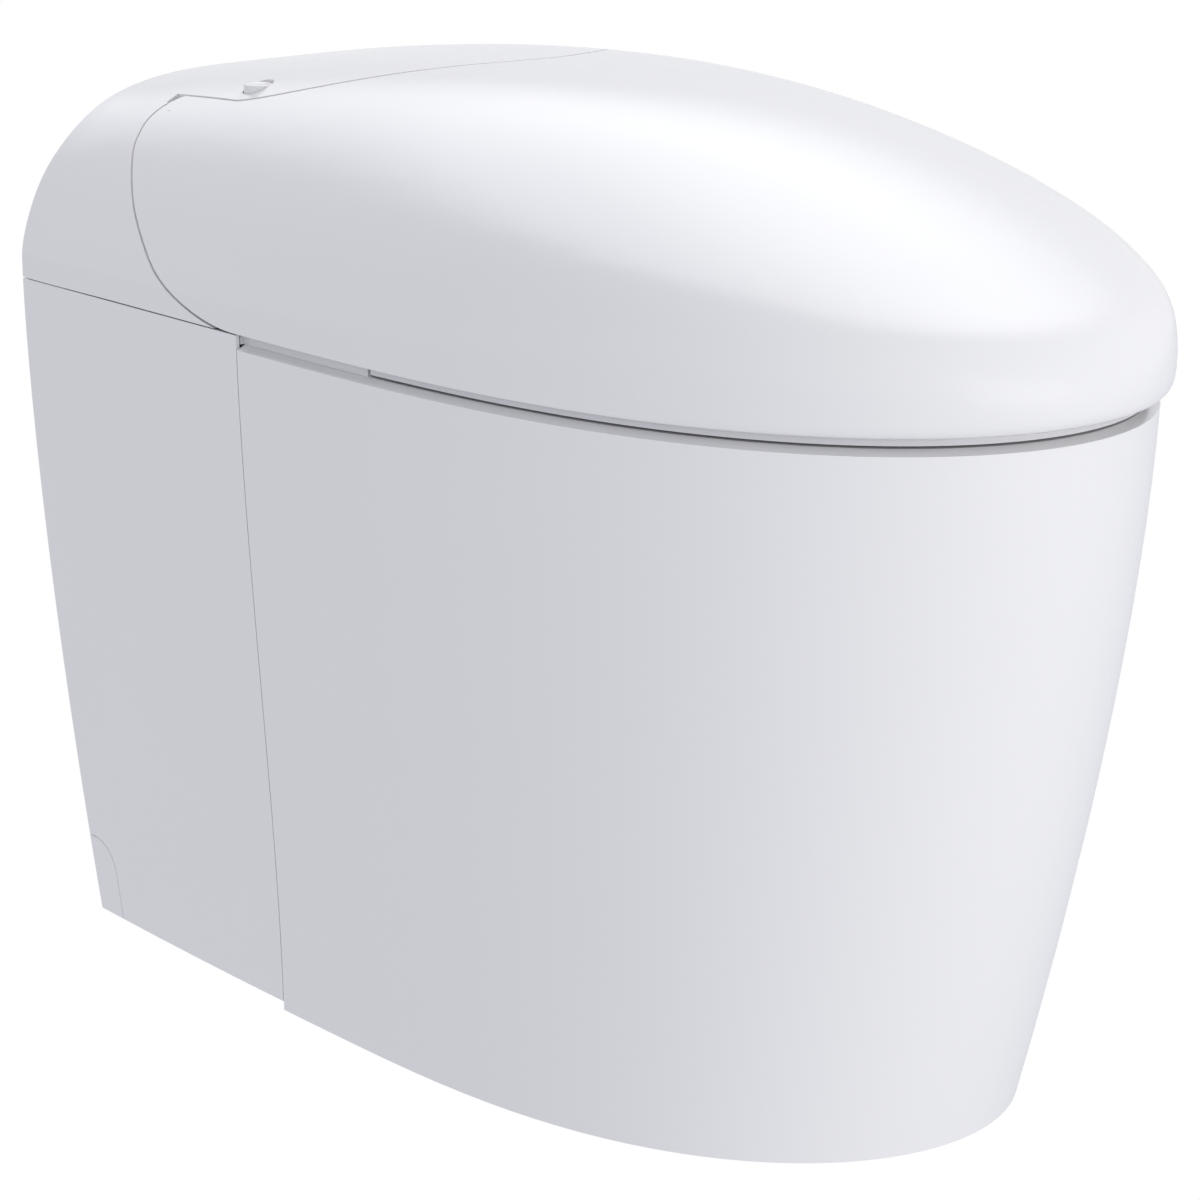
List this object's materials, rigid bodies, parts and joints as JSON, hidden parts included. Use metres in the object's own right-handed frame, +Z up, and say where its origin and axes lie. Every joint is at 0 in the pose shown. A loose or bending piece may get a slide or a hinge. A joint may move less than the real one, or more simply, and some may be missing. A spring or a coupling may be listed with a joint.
{
  "type": "smart toilet with heated seat",
  "caption": "Skirted floor-standing toilet with a domed lid, heated seat, washing wand, dryer and a push button on a fixed rear cover.",
  "frame": {"origin": "on the floor, midway between the lid's nose and the flat back, on the centre plane", "axes": "+Z up, -Y towards the nose, +X to the side away from the push button"},
  "size_m": [0.416, 0.7215, 0.5787],
  "materials": {
    "ceramic": "glossy white glaze",
    "cover_white": "glossy white",
    "inner_white": "satin white",
    "rubber": "soft matte",
    "steel": "plain steel",
    "grey_plastic": "matte grey",
    "hose": "translucent grey",
    "carbon": "black granulate block",
    "board": "green board",
    "heater": "foil",
    "brass": "plain brass"
  },
  "bodies": {
    "toilet": {"ceramic_body": "ceramic", "ceramic_basin": "ceramic", "ceramic_trapway": "ceramic", "floor_flange": "grey_plastic", "flange_gasket": "rubber", "floor_brackets": "steel", "bracket_screws": "steel", "left_side_panel": "cover_white", "right_side_panel": "cover_white", "left_service_cover": "cover_white", "right_service_cover": "cover_white", "panel_clips": "grey_plastic", "unit_base": "inner_white", "unit_bolts": "steel", "rear_cover": "cover_white", "cover_frame": "inner_white", "lid_hinge_bushes": "grey_plastic", "lid_drive": "grey_plastic", "lid_damper": "grey_plastic", "seat_damper": "grey_plastic", "seat_drive": "grey_plastic", "wand_rail": "grey_plastic", "wand_motor": "grey_plastic", "dryer_duct": "inner_white", "dryer_fan": "grey_plastic", "deodoriser_fan": "grey_plastic", "carbon_filter": "carbon", "water_heater": "grey_plastic", "control_board": "board", "power_supply": "grey_plastic", "wash_valve": "grey_plastic", "wash_hose": "hose", "cord_gland": "grey_plastic", "button_cup": "inner_white", "button_spring": "rubber", "button_switch": "grey_plastic", "flush_tank": "grey_plastic", "flush_pump": "grey_plastic", "flush_pipe": "grey_plastic", "rim_jet": "grey_plastic", "supply_valve": "grey_plastic", "inlet_connector": "brass"},
    "lid": {"lid": "cover_white", "lid_liner": "inner_white", "lid_bumpers": "rubber", "lid_hinge_pins": "steel"},
    "seat": {"seat_top": "cover_white", "seat_base": "inner_white", "seat_heater": "heater", "seat_bumpers": "rubber", "seat_hinge_pins": "steel"},
    "wand": {"wand": "inner_white", "wand_nozzle": "inner_white", "nozzle_cap": "inner_white"},
    "flap": {"dryer_flap": "inner_white"},
    "button": {"push_button": "inner_white"}
  },
  "joints": [
    {"name": "lid_hinge", "type": "hinge", "parent": "toilet", "child": "lid", "pos_m": [0, 0.2855, 0.53364], "axis": [-1, 0, 0], "range_deg": [0, 90]},
    {"name": "seat_hinge", "type": "hinge", "parent": "toilet", "child": "seat", "pos_m": [0, 0.07, 0.449], "axis": [-1, 0, 0], "range_deg": [0, 90]},
    {"name": "wand_slide", "type": "slide", "parent": "toilet", "child": "wand", "axis": [0, -0.9135, -0.4067], "range_m": [0, 0.1]},
    {"name": "flap_hinge", "type": "hinge", "parent": "toilet", "child": "flap", "pos_m": [0.017, 0.086, 0.4594], "axis": [-1, 0, 0], "range_deg": [0, 60]},
    {"name": "button_press", "type": "slide", "parent": "toilet", "child": "button", "axis": [0, 0, -1], "range_m": [0, 0.002], "stiffness_N_per_m": 700, "springref_m": -0.002, "deforming": ["button_spring"]}
  ],
  "couplings": [
    {"joint": "seat_hinge", "follows": "lid_hinge", "ratio": 1}
  ]
}
